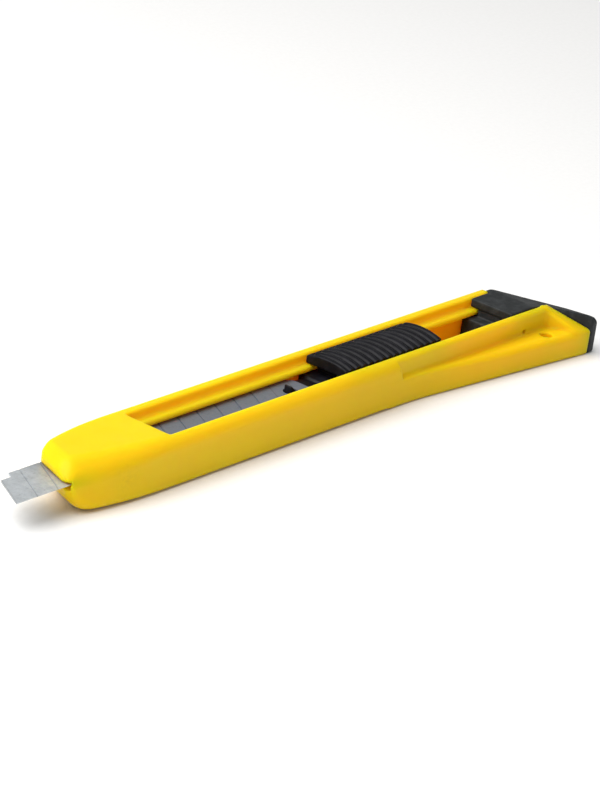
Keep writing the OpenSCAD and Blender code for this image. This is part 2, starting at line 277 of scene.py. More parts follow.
def body_outside(x, y, z, s):
    """The solid bar, without its channel: chin, lip, sides, recess and rear end."""
    edge = s.edge_radius / MM
    toward_nose = ease((NOSE_X + 26 - x) / 26)
    near = -y - SIDE_Y + side_taper(x, NOSE_X, 20)
    far_start_x = NOSE_X + 2 * NOSE_CORNER_Y * math.tan(NOSE_SLANT)
    far = y - SIDE_Y + side_taper(x, far_start_x, 18.2)
    behind = nose_front(x, y) + 0.7 * ease((z - 4.0) / 3.0)

    # The chin, up to the blade
    up_chin = ease(z / LIP_Z)
    chin = both(-behind, -z, 6.5)
    low = both(chin, near, edge + toward_nose * (1.5 - 0.6 * up_chin))
    low = both(low, far, edge + toward_nose * (2.0 - 1.4 * up_chin))

    # The lip above the blade turns under, deeper toward the far side
    turned_under = 1 - np.clip((z - LIP_Z) / 1.5, 0, 1)
    depth = (1.7 + 1.0 * np.clip(y / 4.5, -1, 1)) * ease((5.1 - y) / 0.5)
    lip = depth * (1 - np.sqrt(1 - 0.97 * turned_under**2)) - behind
    high = both(z - TOP_Z, near, s.near_edge_radius / MM + 1.9 * toward_nose)
    high = both(high, lip, s.lip_radius / MM * (0.55 + 0.45 * ease((z - 6) / 3)))
    high = both(high, far, edge)
    bar = np.maximum(low, np.minimum(high, z - LIP_Z))

    # The near face steps in beside the wing, behind a slanted front step
    step_x = 15.8 + 1.9 * np.clip((TOP_Z - z) / 4.4, 0, 1.3)
    thin_y = SLOT_Y + 0.61 * (SIDE_Y - SLOT_Y)
    recess = np.maximum((step_x - x) * 0.95, y + thin_y)
    bar = less(bar, recess, 0.3)

    # The far wall ends ahead of the near wall
    end = np.minimum(x - FAR_END_X, np.maximum(x - NEAR_END_X, y + SLOT_Y))
    return both(bar, end, 0.25)


def flare_run(x):
    """Distance along the wing's flare, easing in from the straight side."""
    reach = x - 22.5
    return (reach + np.hypot(reach, 3.0)) / 2


def wing_shape(x, y, z, s):
    """The flat wing with its sloping rear wall, and the distance past the wing's rear."""
    bend = flare_run(x) / flare_run(TAIL_X) * (CORNER_Y - SIDE_Y)
    edge = -y - SIDE_Y - bend
    rear = (x - NEAR_END_X + y + SLOT_Y) / math.sqrt(2)
    plan = both(edge, rear, 0.7)
    rounding = s.wing_edge_radius / MM * (0.4 + 0.6 * ease((x - 20) / 30))
    wing_top = WING_Z + 0.35 * ease((45 - x) / 30)
    wing = both(plan, z - wing_top, rounding)
    wing = np.maximum(wing, np.maximum(y + SLOT_Y, WING_FRONT_X - x))

    # The rear wall's top falls from the channel to the wing's corner
    lean = math.radians(35)
    inner = (NEAR_END_X - 2 - (y + SLOT_Y) * math.tan(lean) - x) * math.cos(lean)
    wall = both(both(rear, inner, 0.35), edge, 0.7)
    fall = 0.665
    top = (z - TOP_Z - fall * (y + SLOT_Y)) / math.hypot(1, fall)
    wall = both(wall, top, 0.45)
    wall = np.maximum(wall, np.maximum(z - TOP_Z, y + SLOT_Y - 0.6))
    meet = 0.6 * ease((z - 4.7) / 0.5) * ease((-rear - 0.8) / 0.6)
    return either(wing, wall, meet), rear


def hanging_hole(x, y):
    """The round hole through the wing."""
    hole_x, hole_y, radius = TAIL_X - 10.8, -SLOT_Y - 3.6, 1.25
    return np.hypot(x - hole_x, y - hole_y) - radius


def latch_window(x, y, z):
    """The small hole through the near wall where the cap's latch shows."""
    window_x, window_z, radius = NEAR_END_X - 7.7, WING_Z + 0.6, 0.42
    wall_middle_y, half_depth = -SLOT_Y - 0.6, 1.2
    return np.maximum(
        np.hypot(x - window_x, z - window_z) - radius, np.abs(y - wall_middle_y) - half_depth
    )


def open_channel(x, y, z):
    """The open channel, less the rounded rib along each side."""
    across = np.abs(y)
    trough = both(across - SLOT_Y, FLOOR_Z - z, 0.4)
    half_rib = (RIB_TOP_Z - RIB_LOW_Z) / 2
    rib = np.hypot(np.maximum(RIB_Y + half_rib - across, 0), z - RIB_MIDDLE_Z) - half_rib
    # A fillet lies in the corner above the rib, and stops short of the cap
    ahead_of_cap = ease(FAR_END_X - 7.3 - x)
    fillet = 0.2 + 0.7 * ease((z - RIB_TOP_Z + 0.5) / 0.4) * ahead_of_cap
    return both(less(trough, rib, fillet), SLOT_X - x, 0.5)


def nose_hollow(x, y, z):
    """The room inside the nose, the blade's slit and the funnel under its mouth."""
    across = np.abs(y)
    along = np.maximum(ROOM_X - x, x - SLOT_X - 2)
    room = np.maximum(across - SLOT_Y, np.maximum(FLOOR_Z - z, z - RIB_LOW_Z))
    room = np.maximum(room, along)
    lug_room = np.maximum(across - 1.2, np.maximum(RIB_LOW_Z - 1 - z, z - 7.9))
    lug_room = np.maximum(lug_room, along)

    slit = np.maximum(across - SLIT_Y, np.abs(z - BLADE_MIDDLE_Z) - 0.42)
    slit = np.maximum(slit, x - NOSE_X - 12)
    funnel_run = 3
    behind = nose_front(x, y)
    funnel_low = BLADE_LOW[2] - 0.2 - 0.9 * np.clip(1 - behind / funnel_run, 0, 1.4)
    funnel = np.maximum(np.maximum(funnel_low - z, z - BLADE_LOW[2]) * 0.95, across - SLIT_Y)
    funnel = np.maximum(funnel, behind - funnel_run)
    return np.minimum(np.minimum(room, lug_room), np.minimum(slit, funnel))


def body_distance(s):
    """The whole body, with its wing, channel, hollow nose and holes."""

    def distance(x, y, z):
        wing, rear = wing_shape(x, y, z, s)
        wing = less(wing, hanging_hole(x, y), 0.2)
        meet = 0.7 * ease((z - 4.7) / 0.5) * ease((x - 17.7) / 1.5) * ease((-rear - 0.8) / 0.6)
        solid = either(body_outside(x, y, z, s), wing, meet)
        solid = both(solid, -z, s.edge_radius / MM * 0.8)
        solid = less(solid, open_channel(x, y, z), s.land_radius / MM)
        solid = less(solid, nose_hollow(x, y, z), 0.12)
        return less(solid, latch_window(x, y, z), 0.1)

    return distance


def crown_radius(s):
    """Radius of the pad's crowned top, from its rise over half the pad's width."""
    half, crown = PAD_HIGH[1], s.crown / MM
    return (half * half + crown * crown) / (2 * crown)


def pad_distance(s):
    """The thumb pad: a crowned plate with a sunk bed, and the neck below it."""
    half, front, rear = PAD_HIGH[1], PAD_LOW[0], PAD_HIGH[0]
    top_z = PAD_HIGH[2] - RIDGE_RISE
    low_z = top_z - s.crown / MM - 1.45
    radius = crown_radius(s)
    bed_depth, rear_bend = 0.42, 2.2

    def distance(x, y, z):
        from_border = np.minimum(np.minimum(x - front - 0.5, rear - 0.6 - x), half - 0.3 - y)
        crown = np.hypot(y, z - (top_z - radius)) - radius + bed_depth * ease(from_border / 0.5)
        ends = both(both(front - x, crown, 0.35), x - rear, 0.3)
        past_bend = np.maximum(x - rear + rear_bend, 0)
        above_bend = np.maximum(z - PAD_HIGH[2] + 2.6, 0)
        plate = both(ends, np.hypot(past_bend, above_bend) - rear_bend, 0.1)
        plate = both(plate, np.abs(y) - half, 0.3)
        plate = both(plate, low_z - z, 0.2)
        neck_y = RIB_Y - 0.2
        neck_low = (front + 2, -neck_y, RIB_LOW_Z - 0.2)
        neck_high = (rear - 2, neck_y, low_z + 0.6)
        return either(plate, rounded_box(x, y, z, neck_low, neck_high, 0.2), 0.15)

    return distance


def carrier_distance():
    """The blade carrier: a block with the spring's pocket, a tongue and the lug."""
    low, high = CARRIER_LOW, CARRIER_HIGH
    base_x = BLADE_HIGH[0] + 3.4
    under_rib_z = RIB_LOW_Z - 0.2
    blade_z = BLADE_LOW[2]
    tongue_y = 3.6
    lug_x = BLADE_HIGH[0] - 5.6
    lug_y = 0.8

    def distance(x, y, z):
        block = rounded_box(x, y, z, (base_x, low[1], low[2]), (high[0], high[1], under_rib_z), 0.35)
        pocket_low = (base_x + 4.4, low[1] - 2, 2.8)
        pocket_high = (base_x + 18.6, low[1] + 1.4, 5.2)
        block = less(block, rounded_box(x, y, z, pocket_low, pocket_high, 0.15), 0.15)
        tongue_low = (low[0], -tongue_y, blade_z - 2.2)
        tongue = rounded_box(x, y, z, tongue_low, (base_x + 1, tongue_y, blade_z), 0.3)
        lug_low = (lug_x, -lug_y, blade_z - 1)
        lug = rounded_box(x, y, z, lug_low, (lug_x + 2.3, lug_y, high[2]), 0.12)
        slope = (x - lug_x - 0.25) * 0.65 + (z - high[2]) * 0.76
        return np.minimum(either(block, tongue, 0.3), both(lug, slope, 0.1))

    return distance


def cap_plate(x, y, z, gap, edge_radius):
    """The plate across the body's rear end, slanted behind the wing."""
    slant, fall = 0.66, 0.185
    far_y, near_y = SIDE_Y - 1, CORNER_Y - 0.2
    rear_far_x = FAR_END_X + gap + 2.2
    slanted_front = (NEAR_END_X + gap * math.sqrt(2) - x - (y + SLOT_Y)) / math.sqrt(2)
    front = np.where(y > -SLOT_Y + gap, FAR_END_X + gap - x, slanted_front)
    rear = (x - rear_far_x - slant * (far_y - y)) / math.hypot(1, slant)
    plan = both(rear, y - far_y, 0.5)
    plan = both(plan, -near_y - y, 0.7)
    top = (z - TOP_Z + fall * np.maximum(x - FAR_END_X - 1.2, 0)) / math.hypot(1, fall)
    plate = both(plan, top, edge_radius + ease((-y - 6) / 5))
    plate = both(plate, -z, 0.5)
    return both(plate, front, 0.2)


def cap_plug(x, y, z, gap):
    """The plug between the walls: a part above the ribs, a neck and a part below them."""
    across = np.abs(y)
    upper_x = FAR_END_X - 5.9
    upper = both(across - SLOT_Y + gap, z - TOP_Z, 0.3)
    upper = both(upper, RIB_TOP_Z + gap - z, 0.2)
    upper = both(upper, upper_x - x, 0.35)
    neck = np.maximum(across - RIB_Y + gap, upper_x + 0.3 - x)
    neck = np.maximum(neck, np.maximum(RIB_LOW_Z - 1 - z, z - TOP_Z + 1))
    lower = both(across - SLOT_Y + gap, z - RIB_LOW_Z + gap, 0.25)
    lower = both(lower, FLOOR_Z + gap - z, 0.3)
    lower = both(lower, CAP_LOW[0] - x, 0.35)
    plug = np.minimum(np.minimum(upper, neck), lower)
    return np.maximum(plug, x - FAR_END_X - 1)


def cap_distance(s):
    """The end cap, which stands clear of the body by a small gap all round."""
    gap = 0.1

    def distance(x, y, z):
        plate = cap_plate(x, y, z, gap, s.cap_edge_radius / MM)
        return np.minimum(plate, cap_plug(x, y, z, gap))

    return distance


# ---------------------------------------------------------------- geometry nodes


ARC_POINTS, PROFILE_POINTS = 33, 16


def group_input(tree, name, kind, value=None):
    """Adds a named input to a node group."""
    socket = tree.interface.new_socket(name, in_out="INPUT", socket_type=kind)
    if value is not None:
        socket.default_value = value


def ridge_tree():
    """A node group for a row of rounded grip ridges that follow the pad's crown."""
    tree = bpy.data.node_groups.new("Grip Ridges", "GeometryNodeTree")
    group_input(tree, "Count", "NodeSocketInt", 15)
    group_input(tree, "Pitch", "NodeSocketFloat", 0.00187)
    group_input(tree, "Start", "NodeSocketVector")
    group_input(tree, "Crown Radius", "NodeSocketFloat", 0.014)
    group_input(tree, "Near Angle", "NodeSocketFloat", 0.28)
    group_input(tree, "Far Angle", "NodeSocketFloat", 0.28)
    group_input(tree, "Ridge Radius", "NodeSocketFloat", 0.0006)
    group_input(tree, "Material", "NodeSocketMaterial")
    tree.interface.new_socket("Geometry", in_out="OUTPUT", socket_type="NodeSocketGeometry")
    new, link = tree.nodes.new, tree.links.new
    source = new("NodeGroupInput")

    arc = new("GeometryNodeCurveArc")
    arc.inputs["Resolution"].default_value = ARC_POINTS
    link(source.outputs["Crown Radius"], arc.inputs["Radius"])
    sweep = new("ShaderNodeMath")
    sweep.operation = "ADD"
    link(source.outputs["Far Angle"], sweep.inputs[0])
    link(source.outputs["Near Angle"], sweep.inputs[1])
    link(sweep.outputs[0], arc.inputs["Sweep Angle"])
    begin = new("ShaderNodeMath")
    begin.operation = "SUBTRACT"
    begin.inputs[0].default_value = math.pi / 2
    link(source.outputs["Far Angle"], begin.inputs[1])
    link(begin.outputs[0], arc.inputs["Start Angle"])

    # The ridge swells from the far border and runs out at full size over the near edge
    along = new("GeometryNodeSplineParameter")
    swell = new("ShaderNodeFloatCurve")
    curve = swell.mapping.curves[0]
    curve.points[0].location, curve.points[1].location = (0.0, 0.0), (1.0, 1.0)
    for place, height in ((0.015, 0.55), (0.06, 0.92), (0.12, 1.0), (0.97, 1.0)):
        curve.points.new(place, height)
    swell.mapping.update()
    link(along.outputs["Factor"], swell.inputs["Value"])
    profile = new("GeometryNodeCurvePrimitiveCircle")
    profile.inputs["Resolution"].default_value = PROFILE_POINTS
    link(source.outputs["Ridge Radius"], profile.inputs["Radius"])
    sweep_mesh = new("GeometryNodeCurveToMesh")
    sweep_mesh.inputs["Fill Caps"].default_value = True
    link(arc.outputs["Curve"], sweep_mesh.inputs["Curve"])
    link(profile.outputs["Curve"], sweep_mesh.inputs["Profile Curve"])
    link(swell.outputs["Value"], sweep_mesh.inputs["Scale"])
    smooth = new("GeometryNodeSetShadeSmooth")
    link(sweep_mesh.outputs["Mesh"], smooth.inputs["Geometry"])
    upright = new("GeometryNodeTransform")
    upright.inputs["Rotation"].default_value = (math.pi / 2, 0, math.pi / 2)
    link(smooth.outputs["Geometry"], upright.inputs["Geometry"])

    row = new("GeometryNodeMeshLine")
    link(source.outputs["Count"], row.inputs["Count"])
    link(source.outputs["Start"], row.inputs["Start Location"])
    offset = new("ShaderNodeCombineXYZ")
    link(source.outputs["Pitch"], offset.inputs["X"])
    link(offset.outputs["Vector"], row.inputs["Offset"])
    repeat = new("GeometryNodeInstanceOnPoints")
    link(row.outputs["Mesh"], repeat.inputs["Points"])
    link(upright.outputs["Geometry"], repeat.inputs["Instance"])
    real = new("GeometryNodeRealizeInstances")
    link(repeat.outputs["Instances"], real.inputs["Geometry"])
    finish = new("GeometryNodeSetMaterial")
    link(real.outputs["Geometry"], finish.inputs["Geometry"])
    link(source.outputs["Material"], finish.inputs["Material"])
    out = new("NodeGroupOutput")
    link(finish.outputs["Geometry"], out.inputs["Geometry"])
    return tree


def from_nodes(name, tree, values):
    """Evaluates a node group once and keeps its result as a plain mesh."""
    host = add_piece(name + "_maker", bpy.data.meshes.new(name + "_maker"))
    modifier = host.modifiers.new("shape", "NODES")
    modifier.node_group = tree
    for item in tree.interface.items_tree:
        if item.item_type == "SOCKET" and item.in_out == "INPUT" and item.name in values:
            modifier[item.identifier] = values[item.name]
    depsgraph = bpy.context.evaluated_depsgraph_get()
    mesh = bpy.data.meshes.new_from_object(host.evaluated_get(depsgraph), depsgraph=depsgraph)
    mesh.name = name
    host.modifiers.remove(modifier)
    bpy.data.objects.remove(host)
    return add_piece(name, mesh)


# ---------------------------------------------------------------- materials


class Shader:
    """Short calls for building a node material."""

    def __init__(self, name):
        self.material = bpy.data.materials.new(name)
        self.material.use_nodes = True
        self.tree = self.material.node_tree
        self.tree.nodes.clear()
        self.surface = self.add("ShaderNodeBsdfPrincipled")
        out = self.add("ShaderNodeOutputMaterial")
        self.link(self.surface.outputs["BSDF"], out.inputs["Surface"])
        self.place = self.add("ShaderNodeTexCoord").outputs["Object"]

    def add(self, kind, **values):
        """A new node with some of its properties set."""
        node = self.tree.nodes.new(kind)
        for key, value in values.items():
            setattr(node, key, value)
        return node

    def link(self, a, b):
        self.tree.links.new(a, b)

    def stretch(self, scale, rotation=(0, 0, 0)):
        """The object's own coordinates, scaled and turned."""
        node = self.add("ShaderNodeMapping")
        self.link(self.place, node.inputs["Vector"])
        node.inputs["Scale"].default_value = scale
        node.inputs["Rotation"].default_value = rotation
        return node.outputs["Vector"]

    def noise(self, scale, detail=3.0, rough=0.5, vector=None):
        """Soft noise, with its scale in waves a metre."""
        node = self.add("ShaderNodeTexNoise")
        self.link(vector or self.place, node.inputs["Vector"])
        node.inputs["Scale"].default_value = scale
        node.inputs["Detail"].default_value = detail
        node.inputs["Roughness"].default_value = rough
        return node.outputs["Fac"]

    def ramp(self, value, *stops):
        """A value turned into levels or colours through (place, level) stops."""
        node = self.add("ShaderNodeValToRGB")
        self.link(value, node.inputs["Fac"])
        ramp = node.color_ramp
        while len(ramp.elements) > 1:
            ramp.elements.remove(ramp.elements[0])
        for n, (where, colour) in enumerate(stops):
            stop = ramp.elements[0] if n == 0 else ramp.elements.new(where)
            stop.position = where
            level = colour if hasattr(colour, "__len__") else (colour,) * 3
            stop.color = (*level[:3], 1)
        return node.outputs["Color"]

    def mix(self, amount, a, b, blend="MIX"):
        """One colour laid over another by an amount."""
        node = self.add("ShaderNodeMix", data_type="RGBA", blend_type=blend)
        if isinstance(amount, float):
            node.inputs["Factor"].default_value = amount
        else:
            self.link(amount, node.inputs["Factor"])
        for socket, value in ((node.inputs[6], a), (node.inputs[7], b)):
            if hasattr(value, "__len__"):
                socket.default_value = (*value[:3], 1)
            else:
                self.link(value, socket)
        return node.outputs[2]

    def product(self, a, b):
        """Two colours multiplied."""
        return self.mix(1.0, a, b, "MULTIPLY")

    def times(self, value, factor):
        """A value multiplied by a number."""
        node = self.add("ShaderNodeMath", operation="MULTIPLY")
        self.link(value, node.inputs[0])
        node.inputs[1].default_value = factor
        return node.outputs[0]

    def sum(self, a, b):
        """A value with another value or a number added."""
        node = self.add("ShaderNodeMath", operation="ADD")
        self.link(a, node.inputs[0])
        if isinstance(b, float):
            node.inputs[1].default_value = b
        else:
            self.link(b, node.inputs[1])
        return node.outputs[0]

    def bump(self, height, strength, distance, below=None):
        """Fine relief from a height, over an earlier relief if there is one."""
        node = self.add("ShaderNodeBump")
        node.inputs["Strength"].default_value = strength
        node.inputs["Distance"].default_value = distance
        self.link(height, node.inputs["Height"])
        if below is not None:
            self.link(below, node.inputs["Normal"])
        return node.outputs["Normal"]


def yellow_plastic(colour):
    """Soft-lit yellow moulding: slight colour drift, specks, fine flow texture and a stain."""
    s = Shader("yellow_moulding")
    base = tuple(colour)
    deep = (base[0] * 0.95, base[1] * 0.91, base[2] * 0.8)
    drift = s.ramp(s.noise(60, 2, vector=s.stretch((0.4, 1, 1))), (0.3, 0.0), (0.7, 1.0))
    paint = s.mix(drift, base, deep)
    specks = s.ramp(s.noise(900, 4, 0.7), (0.70, 0.0), (0.78, 1.0))
    paint = s.mix(specks, paint, (base[0] * 0.8, base[1] * 0.66, base[2] * 0.9))
    # A small, faint rubbed stain low on the near side of the nose
    away = s.add("ShaderNodeVectorMath", operation="DISTANCE")
    s.link(s.place, away.inputs[0])
    away.inputs[1].default_value = (-0.0583, -0.0069, 0.0046)
    spot = s.ramp(away.outputs["Value"], (0.0, 1.0), (0.0012, 0.0))
    broken = s.ramp(s.noise(1500, 3, 0.6), (0.42, 0.0), (0.62, 1.0))
    strength = (0.12, 0.12, 0.12)
    stain = s.product(s.product(spot, broken), strength)
    paint = s.mix(stain, paint, (base[0] * 0.45, base[1] * 0.42, base[2] * 1.5))
    s.link(paint, s.surface.inputs["Base Color"])
    sheen = s.ramp(s.noise(240, 4, 0.6), (0.3, 0.30), (0.7, 0.42))
    s.link(sheen, s.surface.inputs["Roughness"])
    s.surface.inputs["IOR"].default_value = 1.49
    s.surface.inputs["Specular IOR Level"].default_value = 0.08
    s.surface.inputs["Subsurface Weight"].default_value = 0.85
    s.surface.inputs["Subsurface Radius"].default_value = (0.0050, 0.0030, 0.0003)
    s.surface.inputs["Subsurface Scale"].default_value = 1.0
    flow = s.bump(s.noise(160, 2, vector=s.stretch((0.25, 1, 1))), 0.10, 0.0003)
    grain = s.bump(s.noise(5200, 2), 0.10, 0.00003, flow)
    s.link(grain, s.surface.inputs["Normal"])
    return s.material


def black_plastic(name, colour, roughness, shine, dust):
    """Dull black moulding with a fine grain, handling wear and a little dust."""
    s = Shader(name)
    base = tuple(colour)
    worn = tuple(min(1, c * 1.9 + 0.006) for c in base)
    rub = s.ramp(s.noise(420, 4, 0.65), (0.45, 0.0), (0.75, 1.0))
    paint = s.mix(rub, base, worn)
    lint = s.ramp(s.noise(2600, 3, 0.7), (0.66, 0.0), (0.74, dust))
    paint = s.mix(lint, paint, (0.20, 0.20, 0.21))
    s.link(paint, s.surface.inputs["Base Color"])
    sheen = s.ramp(s.noise(700, 3, 0.6), (0.3, roughness - 0.06), (0.7, roughness + 0.10))
    s.link(sheen, s.surface.inputs["Roughness"])
    s.surface.inputs["IOR"].default_value = 1.5
    s.surface.inputs["Specular IOR Level"].default_value = shine
    grain = s.bump(s.noise(4200, 3, 0.6), 0.25, 0.00004)
    s.link(grain, s.surface.inputs["Normal"])
    return s.material


def blade_steel(colour):
    """Ground carbon steel: fine scratches, mottling and stains, with painted shade in the score
    lines and on the part inside the handle.
    """
    s = Shader("blade_steel")
    base = tuple(colour)
    mottle = s.ramp(s.noise(520, 5, 0.65), (0.32, 0.0), (0.68, 1.0))
    paint = s.mix(mottle, tuple(c * 0.70 for c in base), base)
    stain = s.ramp(s.noise(900, 4, 0.7, s.stretch((1, 1.6, 1))), (0.58, 0.0), (0.72, 0.6))
    paint = s.mix(stain, paint, (base[0] * 0.42, base[1] * 0.42, base[2] * 0.43))
    lines = s.noise(1.0, 3, 0.6, s.stretch((9000, 500, 500), (0, 0, math.radians(30))))
    bright = tuple(min(1, c * 1.25) for c in base)
    paint = s.mix(s.ramp(lines, (0.52, 0.0), (0.72, 0.35)), paint, bright)
    place = s.add("ShaderNodeSeparateXYZ")
    s.link(s.place, place.inputs[0])

    # Painted shade darkens the score lines, which stand every 5 mm at 60 degrees to the edge
    pitch, lean = 5 * MM, math.tan(math.radians(30))
    along = s.sum(place.outputs["X"], s.times(place.outputs["Y"], -lean))
    along = s.sum(along, (-BLADE_LOW[0] - BLADE_HIGH[1] * lean) * MM)
    from_line = s.add("ShaderNodeMath", operation="PINGPONG")
    s.link(s.times(along, 1 / pitch), from_line.inputs[0])
    from_line.inputs[1].default_value = 0.5
    score_line_shade = s.ramp(from_line.outputs[0], (0.015, 0.45), (0.03, 0.0))
    paint = s.mix(score_line_shade, paint, tuple(c * 0.25 for c in base))

    # The part that stays in the handle is painted darker and bluer: painted shade for the blade
    # between the channel walls
    inward = s.add("ShaderNodeMapRange")
    s.link(place.outputs["X"], inward.inputs["Value"])
    inward.inputs["From Min"].default_value = (NOSE_X - 2) * MM
    inward.inputs["From Max"].default_value = (NOSE_X + 6) * MM
    handle_shade_reach = s.ramp(inward.outputs["Result"], (0.0, 0.0), (1.0, 1.0))
    painted_handle_shade = s.product(handle_shade_reach, s.ramp(mottle, (0.0, 0.85), (1.0, 1.0)))
    paint = s.mix(painted_handle_shade, paint, s.product(paint, (0.29, 0.345, 0.45)))
    s.link(paint, s.surface.inputs["Base Color"])
    s.surface.inputs["Metallic"].default_value = 0.6
    sheen = s.ramp(mottle, (0.0, 0.55), (1.0, 0.40))
    s.link(sheen, s.surface.inputs["Roughness"])
    normal = s.bump(lines, 0.18, 0.00004)
    normal = s.bump(s.noise(1400, 4, 0.6), 0.10, 0.00005, normal)
    s.link(normal, s.surface.inputs["Normal"])
    return s.material


def spring_strip_steel(colour):
    """Rolled spring strip with fine lengthwise lines and darker tempered patches."""
    s = Shader("spring_strip")
    base = tuple(colour)
    patch = s.ramp(s.noise(380, 4, 0.6), (0.35, 0.0), (0.7, 1.0))
    s.link(s.mix(patch, base, tuple(c * 0.62 for c in base)), s.surface.inputs["Base Color"])
    s.surface.inputs["Metallic"].default_value = 1.0
    lines = s.noise(1.0, 2, 0.5, s.stretch((300, 300, 9000)))
    s.link(s.ramp(lines, (0.3, 0.22), (0.7, 0.38)), s.surface.inputs["Roughness"])
    s.link(s.bump(lines, 0.2, 0.00002), s.surface.inputs["Normal"])
    return s.material


def floor_paper():
    """Plain white paper sweep with a faint fibre."""
    s = Shader("white_sweep")
    fibre = s.ramp(s.noise(900, 3, 0.6), (0.35, 0.85), (0.65, 0.87))
    s.link(fibre, s.surface.inputs["Base Color"])
    s.surface.inputs["Roughness"].default_value = 0.9
    s.surface.inputs["Specular IOR Level"].default_value = 0.1
    return s.material


# ---------------------------------------------------------------- settings


def length(name, default_mm, description):
    """A length setting, given in millimetres."""
    return FloatProperty(
        name=name,
        description=description,
        default=default_mm * MM,
        min=0.0,
        precision=5,
        unit="LENGTH",
    )


def tint(name, default, description):
    """A colour setting."""
    return FloatVectorProperty(
        name=name,
        description=description,
        default=default,
        size=3,
        min=0.0,
        max=1.0,
        subtype="COLOR",
    )


def power(name, default, description):
    """A light's power, in watts."""
    return FloatProperty(name=name, description=description, default=default, unit="POWER")


class KnifeBodySettings(bpy.types.PropertyGroup):
    """Sizes and colour of the body"""

    edge_radius: length("Edge radius", 0.8, "Radius along the body's long edges")
    near_edge_radius: length("Near edge radius", 2.6, "Radius along the upper edge of the near side")
    lip_radius: length("Lip radius", 3.0, "Radius over the front of the nose")
    land_radius: length("Land radius", 0.5, "Radius on the edges of the slot")
    wing_edge_radius: length("Wing edge radius", 1.3, "Radius along the wing's upper edge")
    cell: length("Mesh cell", 0.24, "Size of the mesh across the body")
    colour: tint("Body colour", (0.90, 0.552, 0.007), "Colour of the body's plastic")


class KnifeSliderSettings(bpy.types.PropertyGroup):
    """Sizes and colour of the thumb slider"""

    crown: length("Crown", 0.8, "Rise of the pad's top above its edges")
    ridges: IntProperty(name="Ridges", description="Number of grip ridges", default=15, min=1)
    ridge_pitch: length("Ridge pitch", 1.87, "Distance between grip ridges")
    ridge_radius: length("Ridge radius", 0.76, "Radius of a grip ridge")
    ridge_start: length("Ridge start", 1.6, "Distance from the pad's front to its first ridge")
    border: length("Border", 0.7, "Plain edge beside the ridges")
    colour: tint("Slider colour", (0.004, 0.004, 0.006), "Colour of the slider's plastic")


class KnifeCapSettings(bpy.types.PropertyGroup):
    """Size and colour of the end cap"""

    cap_edge_radius: length("Cap edge radius", 0.5, "Radius along the cap's upper edges")
    colour: tint("Cap colour", (0.018, 0.020, 0.021), "Colour of the cap's plastic")


class KnifeSteelSettings(bpy.types.PropertyGroup):
    """Colours of the steel parts"""

    blade: tint("Blade colour", (0.62, 0.66, 0.69), "Colour of the blade's steel")
    spring: tint("Spring colour", (0.45, 0.46, 0.48), "Colour of the lock spring's steel")


class KnifeStageSettings(bpy.types.PropertyGroup):
    """Lights and lens of the stage"""

    key_power: power("Key light", 9.2, "Power of the overhead light")
    fill_power: power("Fill light", 0.3, "Power of the side light")
    sky: FloatProperty(name="Sky", description="Brightness of the surroundings", default=0.33)
    lens: FloatProperty(
        name="Lens", description="Focal length of the camera", default=172.4, unit="CAMERA"
    )


# ---------------------------------------------------------------- operators


class KNIFE_OT_body(bpy.types.Operator):
    """Build the moulded body with its nose, channel, ribs and hanging wing"""

    bl_idname = "knife.build_body"
    bl_label = "Body"

    def execute(self, context):
        s = context.scene.knife_body
        cell = s.cell / MM * 1.0
        fine = cell * 1.25
        # Long steps where the section stays the same
        xs = steps(
            (NOSE_X - 0.5, fine),
            (SLOT_X + 2, 1.8),
            (WING_FRONT_X, fine),
            (19, 1.1),
            (FAR_END_X - 3, fine),
            (TAIL_X + 0.5, cell),
        )
        ys = even(-CORNER_Y - 0.4, SIDE_Y + 0.4, cell)
        zs = even(-0.4, TOP_Z + 0.4, cell)
        piece = skin("knife_body", body_distance(s), xs, ys, zs)
        settle(piece, "handle", "body_plastic", yellow_plastic(s.colour), "body")
        return {"FINISHED"}


class KNIFE_OT_slider(bpy.types.Operator):
    """Build the thumb pad, its grip ridges and the blade carrier"""

    bl_idname = "knife.build_slider"
    bl_label = "Thumb slider"

    def execute(self, context):
        s = context.scene.knife_slider
        black = black_plastic("slider_moulding", s.colour, 0.38, 0.13, 0.15)
        pad = skin(
            "thumb_pad",
            pad_distance(s),
            even(PAD_LOW[0] - 0.5, PAD_HIGH[0] + 0.5, 0.25),
            even(PAD_LOW[1] - 0.4, PAD_HIGH[1] + 0.4, 0.2),
            even(RIB_LOW_Z - 0.6, PAD_HIGH[2] + 0.4, 0.2),
        )
        settle(pad, "slider", "slider_plastic", black, "thumb_slider")

        radius = crown_radius(s)
        path_radius = radius + RIDGE_RISE - s.ridge_radius / MM
        centre_z = PAD_HIGH[2] - RIDGE_RISE - radius
        near_reach, far_reach = PAD_HIGH[1] - 0.06, PAD_HIGH[1] - s.border / MM
        ridges = from_nodes(
            "grip_ridges",
            ridge_tree(),
            {
                "Count": s.ridges,
                "Pitch": s.ridge_pitch,
                "Start": (PAD_LOW[0] * MM + s.ridge_start, 0.0, centre_z * MM),
                "Crown Radius": path_radius * MM,
                "Near Angle": math.asin(near_reach / radius),
                "Far Angle": math.asin(far_reach / radius),
                "Ridge Radius": s.ridge_radius,
                "Material": black,
            },
        )
        settle(ridges, "slider", "slider_plastic", black)

        carrier = skin(
            "slide_carrier",
            carrier_distance(),
            even(CARRIER_LOW[0] - 0.5, CARRIER_HIGH[0] + 0.5, 0.3),
            even(CARRIER_LOW[1] - 0.4, CARRIER_HIGH[1] + 0.4, 0.25),
            even(CARRIER_LOW[2] - 0.4, CARRIER_HIGH[2] + 0.4, 0.2),
        )
        settle(carrier, "slider", "slider_plastic", black, "blade_carrier")
        return {"FINISHED"}


